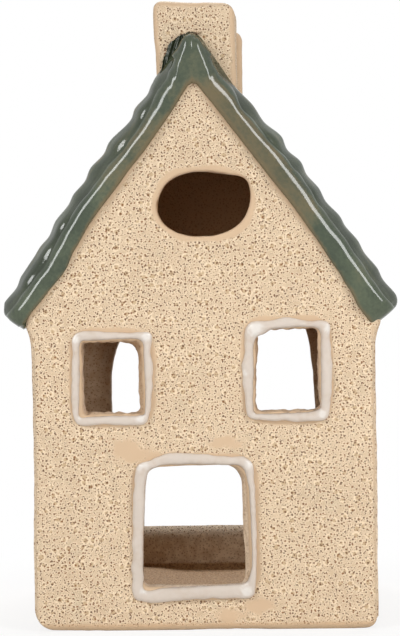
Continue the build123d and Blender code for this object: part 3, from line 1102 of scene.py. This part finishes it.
def makeRim(name, key):
    points = rims[key]
    places = [k / rims["steps"] for k in range(len(points) * rims["steps"])]
    rings = [rimRing(*between(points, place)) for place in places]
    bead = wrapGrid(name, rings, closed=True)
    lumps(bead, rims["lumps"], 3.0)
    paint(bead, "thin", streakedRim)
    paint(bead, "pooledAndPaintedLight", paintedGlints)
    settle(bead, white, "white_glaze", key + "_rim")


makeRim("doorwayRim", "doorway")
makeRim("leftWindowRim", "left_window")
makeRim("rightWindowRim", "right_window")
print("rims drawn")


# floor, light and camera
studio = {
    "ambient": 0.13, "background": 1.0, "floor": (0.92, 0.91, 0.9, 1.0),
    "floorGlow": (0.8, 1.0), "floorReach": (50.0, 130.0),  # near the house and from there on, in mm
}
# each lamp: aim in mm, direction from it, distance, the way it is long, size in mm, power in W
# and whether the glaze mirrors it
lamps = {
    "leftStrip": ((0, -42, 100), (-0.66, -0.55, 0.51), 1000, (-0.58, 0, -0.82), (560, 260), 5.1, True),
    "rightStrip": ((0, -42, 100), (0.66, -0.55, 0.51), 1000, (0.60, 0, -0.80), (560, 260), 4.7, True),
    "frontFill": ((0, -42, 40), (-0.14, -0.97, 0.19), 1000, (1, 0, 0), (400, 300), 1.25, False),
    "rightLow": ((-35.3, 37, 64), (0.61, -0.79, 0.035), 900, (0, 0, 1), (160, 30), 1.1, False),
    "backSoft": ((0, 0, 60), (0, 0.6, 0.8), 800, (1, 0, 0), (500, 300), 4.4, True),
}
view = {
    "aim": (-0.14, -42.0, 79.3), "distance": 599.0, "height": 96.5,
    "azimuth": 2.0, "roll": -0.9, "spanAtAim": 160.65,
}


def seenDirectly(tree):
    path = add(tree, "LightPath").outputs
    seen = mathNode(tree, "MAXIMUM", path["Is Camera Ray"], path["Is Glossy Ray"])
    return mathNode(tree, "MAXIMUM", seen, path["Is Transmission Ray"])


def makeFloor():
    bm = bmesh.new()
    bmesh.ops.create_grid(bm, x_segments=1, y_segments=1, size=8.0)
    mesh = bpy.data.meshes.new("studioFloor")
    bm.to_mesh(mesh)
    bm.free()
    floor = newPiece("studioFloor", mesh)
    material, tree = newMaterial("paleFloor")
    matt = add(tree, "BsdfDiffuse", {"Color": studio["floor"]})
    glow = add(tree, "Emission", {"Color": (1.0, 1.0, 1.0, 1.0), "Strength": studio["background"]})
    away = add(tree, "VectorMath", {0: objectPoint(tree, 1.0)}, operation="LENGTH").outputs["Value"]
    level = ramp(tree, away, *studio["floorReach"], *studio["floorGlow"])
    share = mathNode(tree, "MULTIPLY", seenDirectly(tree), level)
    mix = add(tree, "MixShader", {0: share, 1: matt.outputs[0], 2: glow.outputs[0]})
    tree.links.new(mix.outputs[0], add(tree, "OutputMaterial").inputs[0])
    mesh.materials.append(material)


def makeWorld():
    world = bpy.data.worlds.new("studio")
    bpy.context.scene.world = world
    world.use_nodes = True
    tree = world.node_tree
    tree.nodes.clear()
    level = ramp(tree, seenDirectly(tree), 0.0, 1.0, studio["ambient"], studio["background"])
    light = add(tree, "Background", {"Color": (1.0, 1.0, 1.0, 1.0), "Strength": level})
    tree.links.new(light.outputs[0], add(tree, "OutputWorld").inputs[0])


def makeLamps():
    for name, (aim, direction, distance, length, size, power, mirrored) in lamps.items():
        light = bpy.data.lights.new(name, "AREA")
        light.shape = "RECTANGLE"
        light.size, light.size_y = size[0] * mm, size[1] * mm
        light.energy = power
        lamp = bpy.data.objects.new(name, light)
        lamp.visible_glossy = mirrored
        bpy.context.scene.collection.objects.link(lamp)
        back = Vector(direction).normalized()
        side = (Vector(length) - back * back.dot(Vector(length))).normalized()
        turn = Matrix((side, back.cross(side), back)).transposed().to_4x4()
        lamp.matrix_world = Matrix.Translation((Vector(aim) + back * distance) * mm) @ turn


def makeCamera():
    data = bpy.data.cameras.new("camera")
    camera = bpy.data.objects.new("camera", data)
    bpy.context.scene.collection.objects.link(camera)
    aim = Vector(view["aim"]) * mm
    turn = math.radians(view["azimuth"])
    reach = view["distance"] * mm
    place = Vector((aim.x + math.sin(turn) * reach, aim.y - math.cos(turn) * reach, view["height"] * mm))
    camera.location = place
    look = (aim - place).to_track_quat("-Z", "Y")
    camera.rotation_mode = "QUATERNION"
    camera.rotation_quaternion = look @ Quaternion((0, 0, 1), math.radians(view["roll"]))
    data.sensor_width = 36.0
    data.lens = data.sensor_width * (aim - place).length / (view["spanAtAim"] * mm)
    data.clip_start, data.clip_end = 0.01, 20.0
    bpy.context.scene.camera = camera


makeFloor()
makeWorld()
makeLamps()
makeCamera()
bpy.context.scene.view_settings.view_transform = "Standard"
print("stage set")
